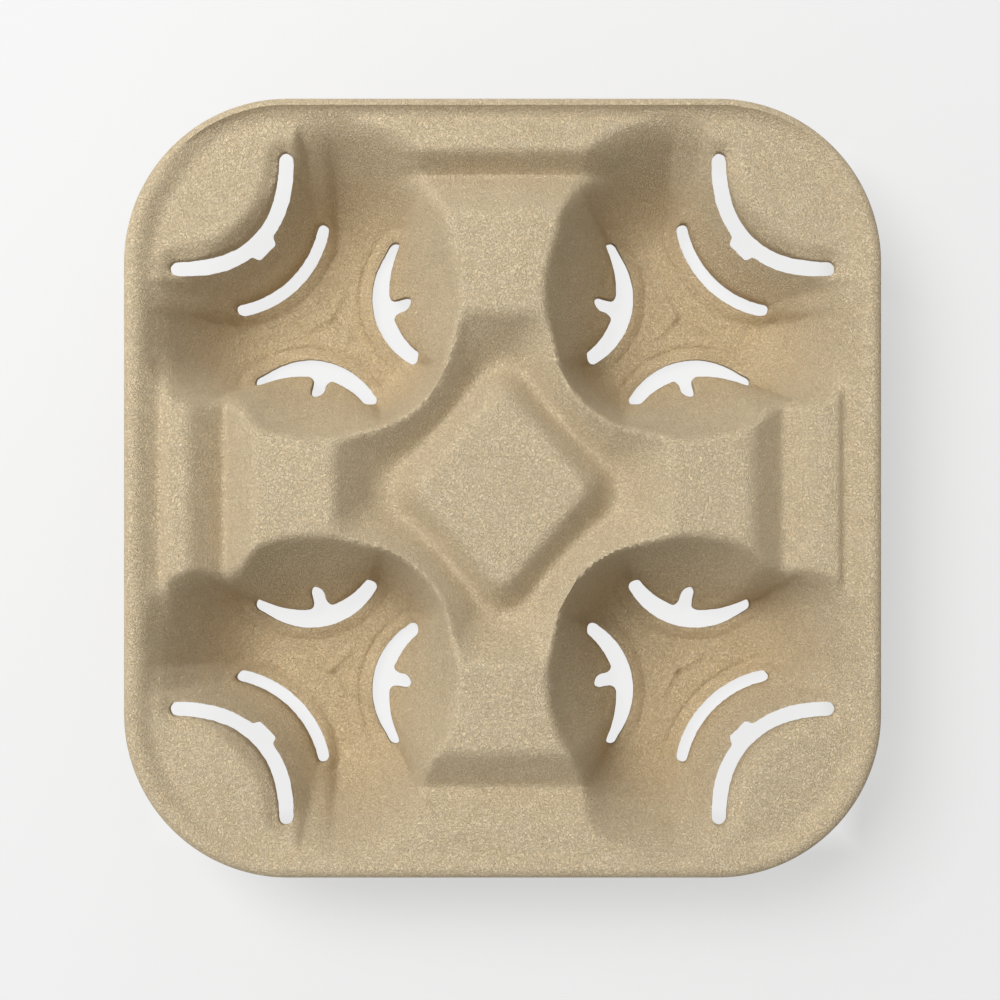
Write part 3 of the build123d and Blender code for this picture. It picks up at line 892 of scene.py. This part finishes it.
def node_range(nodes, links, value, low, high):
    """Stretches a range of values to 0 to 1. Returns its output."""
    stretch = nodes.new("ShaderNodeMapRange")
    stretch.inputs["From Min"].default_value = low
    stretch.inputs["From Max"].default_value = high
    links.new(value, stretch.inputs["Value"])
    return stretch.outputs["Result"]


def node_tint(nodes, links, share, base, tint, blend="MIX"):
    """Mixes a tint into a base colour by a share. Returns its output."""
    mix = nodes.new("ShaderNodeMix")
    mix.data_type = "RGBA"
    mix.blend_type = blend
    links.new(share, mix.inputs["Factor"])
    for socket, value in ((mix.inputs[6], base), (mix.inputs[7], tint)):
        if isinstance(value, bpy.types.NodeSocket):
            links.new(value, socket)
        else:
            socket.default_value = value
    return mix.outputs[2]


def fibre_layer(nodes, links, place, heading, finish):
    """Thin short streaks along one heading in space. Returns their noise."""
    turn = nodes.new("ShaderNodeMapping")
    turn.vector_type = "TEXTURE"
    turn.inputs["Rotation"].default_value = heading
    turn.inputs["Location"].default_value = [offset * 0.1 for offset in heading]
    thin = finish.fibre_width / finish.fibre_length
    turn.inputs["Scale"].default_value = (1.0, thin, thin)
    links.new(place, turn.inputs["Vector"])
    return node_noise(nodes, links, turn.outputs["Vector"], finish.fibre_length, 1.0).outputs["Fac"]


def curly_strands(nodes, links, place, size, offset, width):
    """Curly strands about one width thick, along the level lines of a noise. Returns their share."""
    moved = nodes.new("ShaderNodeVectorMath")
    moved.inputs[1].default_value = (offset, offset, offset)
    links.new(place, moved.inputs[0])
    noise = node_noise(nodes, links, moved.outputs[0], size, 1.5).outputs["Fac"]
    from_level = node_maths(nodes, links, "ABSOLUTE", node_maths(nodes, links, "SUBTRACT", noise, 0.5))
    return node_range(nodes, links, from_level, width, 0.0)


def fibres_and_gaps(nodes, links, place, finish):
    """Shares of the pale fibres and of the darker gaps between them."""
    waver = node_noise(nodes, links, place, finish.curl_length).outputs["Color"]
    bend = nodes.new("ShaderNodeVectorMath")
    bend.operation = "MULTIPLY_ADD"
    links.new(waver, bend.inputs[0])
    bend.inputs[1].default_value = (finish.curl,) * 3
    links.new(place, bend.inputs[2])
    headings = ((0.0, 0.1, 0.3), (0.2, -0.3, 1.1), (-0.2, 0.3, 1.9), (0.4, 0.2, 2.7))
    layers = [fibre_layer(nodes, links, bend.outputs[0], heading, finish) for heading in headings]
    pale, gaps = layers[0], layers[0]
    for layer in layers[1:]:
        pale = node_maths(nodes, links, "MAXIMUM", pale, layer)
        gaps = node_maths(nodes, links, "MINIMUM", gaps, layer)
    pale = node_range(nodes, links, pale, 0.62, 0.82)
    gaps = node_range(nodes, links, gaps, 0.40, 0.20)
    strands = node_maths(nodes, links, "MAXIMUM",
                         curly_strands(nodes, links, place, finish.long_strand, 0.1, 0.04),
                         curly_strands(nodes, links, place, finish.short_strand, 0.2, 0.036))
    pale = node_maths(nodes, links, "MAXIMUM", pale, strands)
    curly_gaps = curly_strands(nodes, links, place, finish.gap_strand, 0.3, 0.04)
    return pale, node_maths(nodes, links, "MAXIMUM", gaps, curly_gaps)


def pulp_colour(nodes, links, place, pale, gaps, grain, finish):
    """Colour of the pulp: mottling, pale fibres, dark gaps and grain, a few specks, and a warmer, darker tint
    low in the pockets.
    """
    mottle = node_noise(nodes, links, place, finish.mottle, 3.0).outputs["Fac"]
    specks = node_noise(nodes, links, place, finish.speck_spacing, 2.0).outputs["Fac"]
    tone = node_tint(nodes, links, node_range(nodes, links, mottle, 0.3, 0.7), finish.body_dark, finish.body)
    for share, strength, tint in (
        (pale, finish.pale_share, finish.pale),
        (gaps, finish.gap_share, finish.dark),
        (node_range(nodes, links, grain, 0.62, 0.30), finish.grain_share, finish.dark),
        (node_range(nodes, links, specks, 0.70, 0.80), finish.speck_share, finish.speck),
    ):
        tone = node_tint(nodes, links, node_maths(nodes, links, "MULTIPLY", share, strength), tone, tint)
    # Warmer, darker tint by height, in full near the pockets' floors.
    height = nodes.new("ShaderNodeSeparateXYZ")
    links.new(place, height.inputs[0])
    deep = node_range(nodes, links, height.outputs["Z"], finish.deep_tint_top, finish.deep_tint_full)
    return node_tint(nodes, links, deep, tone, finish.pressed, "MULTIPLY")


def pulp_material(finish):
    """Pressed pulp: short pale fibres over darker gaps, slow mottling and a few specks."""
    material = bpy.data.materials.new("pressed_pulp")
    material.use_nodes = True
    nodes, links = material.node_tree.nodes, material.node_tree.links
    shader = nodes["Principled BSDF"]
    place = nodes.new("ShaderNodeTexCoord").outputs["Object"]
    pale, gaps = fibres_and_gaps(nodes, links, place, finish)
    grain = node_noise(nodes, links, place, finish.grain, 3.0).outputs["Fac"]
    links.new(pulp_colour(nodes, links, place, pale, gaps, grain, finish), shader.inputs["Base Color"])
    shader.inputs["Specular IOR Level"].default_value = 0.2
    rough = node_maths(nodes, links, "MULTIPLY_ADD", grain, 0.15, finish.roughness - 0.08)
    links.new(rough, shader.inputs["Roughness"])
    fibre_height = node_maths(nodes, links, "MULTIPLY_ADD", grain, 0.8, pale)
    fibre_height = node_maths(nodes, links, "MULTIPLY_ADD", gaps, -0.8, fibre_height)
    bump = nodes.new("ShaderNodeBump")
    bump.inputs["Strength"].default_value = 1.0
    bump.inputs["Distance"].default_value = finish.fibre_depth
    links.new(fibre_height, bump.inputs["Height"])
    links.new(bump.outputs["Normal"], shader.inputs["Normal"])
    return material


class CUPCARRIER_OT_tray(bpy.types.Operator):
    """Make the pressed-pulp tray"""

    bl_idname = "cup_carrier.tray"
    bl_label = "Make the tray"

    def execute(self, context):
        scene = context.scene
        waves = Waves(scene.cup_studio.samples_seed)
        tray_object = build_tray(scene.cup_tray, scene.cup_pocket, waves)
        finish_mesh(tray_object)
        tray_object.data.materials.append(pulp_material(scene.cup_pulp))
        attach(tray_object, "root")
        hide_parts("cup_carrier")
        return {"FINISHED"}


def shows_white(nodes, links, plain, white, amount=1.0):
    """Mixes a shader with its white stand-in for rays from the camera, glossy rays and transmission rays."""
    path = nodes.new("ShaderNodeLightPath")
    seen = node_maths(nodes, links, "MAXIMUM", path.outputs["Is Camera Ray"], path.outputs["Is Glossy Ray"])
    seen = node_maths(nodes, links, "MAXIMUM", seen, path.outputs["Is Transmission Ray"])
    mix = nodes.new("ShaderNodeMixShader")
    links.new(node_maths(nodes, links, "MULTIPLY", seen, amount), mix.inputs["Fac"])
    links.new(plain, mix.inputs[1])
    links.new(white, mix.inputs[2])
    return mix.outputs["Shader"]


def floor_white_share(nodes, links, setup):
    """How much of the backdrop's white the floor shows: more far away, and under the carrier's openings,
    where the white is painted light in place of the carrier's shade.
    """
    place = nodes.new("ShaderNodeTexCoord").outputs["Object"]
    distance = nodes.new("ShaderNodeVectorMath")
    distance.operation = "LENGTH"
    links.new(place, distance.inputs[0])
    outer = node_range(nodes, links, distance.outputs["Value"], setup.fade_start, setup.fade_end)
    # Painted light on the floor under the carrier's openings, where its shade falls.
    sides = nodes.new("ShaderNodeSeparateXYZ")
    links.new(place, sides.inputs[0])
    across = node_maths(nodes, links, "ABSOLUTE", sides.outputs["X"])
    along = node_maths(nodes, links, "ABSOLUTE", sides.outputs["Y"])
    from_centre = node_maths(nodes, links, "MAXIMUM", across, along)
    under = node_range(nodes, links, from_centre, setup.painted_light_start, setup.painted_light_end)
    under = node_maths(nodes, links, "MULTIPLY", under, setup.painted_light_share)
    paler = node_maths(nodes, links, "MAXIMUM", outer, under)
    return node_maths(nodes, links, "MULTIPLY_ADD", paler, 1 - setup.near_share, setup.near_share)


def floor_material(setup):
    """Matt white floor that keeps the shadow near the object, shows painted light under the carrier's
    openings in place of its shade, and fades into the backdrop further out.
    """
    material = bpy.data.materials.new("studio_floor")
    material.use_nodes = True
    nodes, links = material.node_tree.nodes, material.node_tree.links
    nodes.clear()
    output = nodes.new("ShaderNodeOutputMaterial")
    matt = nodes.new("ShaderNodeBsdfDiffuse")
    matt.inputs["Color"].default_value = setup.floor
    white = nodes.new("ShaderNodeEmission")
    white.inputs["Color"].default_value = setup.backdrop
    share = floor_white_share(nodes, links, setup)
    links.new(shows_white(nodes, links, matt.outputs[0], white.outputs[0], share), output.inputs["Surface"])
    return material


def add_floor(setup):
    """Large round floor, just under the carrier."""
    bpy.ops.mesh.primitive_circle_add(vertices=96, radius=setup.floor_radius, fill_type="TRIFAN",
                                      location=(0, 0, -setup.floor_gap))
    floor = bpy.context.object
    floor.name = "studio_floor"
    floor.data.materials.append(floor_material(setup))


def add_sky(setup):
    """Even light from all round, which shows as the backdrop's white."""
    world = bpy.data.worlds.new("studio_sky")
    bpy.context.scene.world = world
    world.use_nodes = True
    nodes, links = world.node_tree.nodes, world.node_tree.links
    nodes.clear()
    output = nodes.new("ShaderNodeOutputWorld")
    light = nodes.new("ShaderNodeBackground")
    light.inputs["Color"].default_value = (1, 1, 1, 1)
    light.inputs["Strength"].default_value = setup.sky
    white = nodes.new("ShaderNodeBackground")
    white.inputs["Color"].default_value = setup.backdrop
    links.new(shows_white(nodes, links, light.outputs[0], white.outputs[0]), output.inputs["Surface"])


def add_key(setup):
    """Soft square lamp at the back left, pointed at the carrier."""
    lamp = bpy.data.lights.new("key_lamp", "AREA")
    lamp.shape = "SQUARE"
    lamp.size = setup.key_size
    lamp.energy = setup.key_power
    key = bpy.data.objects.new("key_lamp", lamp)
    key.location = setup.key_place
    key.rotation_euler = (-Vector(key.location)).to_track_quat("-Z", "Y").to_euler()
    bpy.context.scene.collection.objects.link(key)


def add_camera(setup):
    """Camera that looks straight down on the carrier."""
    data = bpy.data.cameras.new("camera")
    data.sensor_width = 36.0
    data.lens = setup.lens
    data.shift_x, data.shift_y = setup.shift_x, setup.shift_y
    data.clip_start, data.clip_end = 0.01, 20.0
    camera = bpy.data.objects.new("camera", data)
    camera.location = (setup.camera_x, setup.camera_y, setup.camera_height)
    bpy.context.scene.collection.objects.link(camera)
    bpy.context.scene.camera = camera


class CUPCARRIER_OT_studio(bpy.types.Operator):
    """Make the floor, the light and the camera"""

    bl_idname = "cup_carrier.studio"
    bl_label = "Make the studio"

    def execute(self, context):
        setup = context.scene.cup_studio
        add_floor(setup)
        add_sky(setup)
        add_key(setup)
        add_camera(setup)
        context.scene.view_settings.view_transform = "Standard"
        return {"FINISHED"}


class CUPCARRIER_PT_panel(bpy.types.Panel):
    """Sizes, finish and operators of the cup carrier"""

    bl_idname = "CUPCARRIER_PT_panel"
    bl_label = "Cup carrier"
    bl_space_type = "VIEW_3D"
    bl_region_type = "UI"
    bl_category = "Cup carrier"

    def draw(self, context):
        scene = context.scene
        for heading, group in (("Tray", scene.cup_tray), ("Pockets", scene.cup_pocket),
                               ("Pulp", scene.cup_pulp), ("Studio", scene.cup_studio)):
            box = self.layout.box()
            box.label(text=heading)
            for name in group.bl_rna.properties.keys():
                if name not in ("name", "rna_type"):
                    box.prop(group, name)
        self.layout.operator(CUPCARRIER_OT_tray.bl_idname)
        self.layout.operator(CUPCARRIER_OT_studio.bl_idname)


CLASSES = (TraySizes, PocketSizes, PulpFinish, StudioSetup, CUPCARRIER_OT_tray, CUPCARRIER_OT_studio,
           CUPCARRIER_PT_panel)
GROUPS = {"cup_tray": TraySizes, "cup_pocket": PocketSizes, "cup_pulp": PulpFinish, "cup_studio": StudioSetup}


def register():
    for item in CLASSES:
        bpy.utils.register_class(item)
    for name, group in GROUPS.items():
        setattr(bpy.types.Scene, name, PointerProperty(type=group))


def unregister():
    for name in GROUPS:
        delattr(bpy.types.Scene, name)
    for item in reversed(CLASSES):
        bpy.utils.unregister_class(item)


def main():
    register()
    bpy.ops.cup_carrier.tray()
    bpy.ops.cup_carrier.studio()


if __name__ == "__main__":
    main()
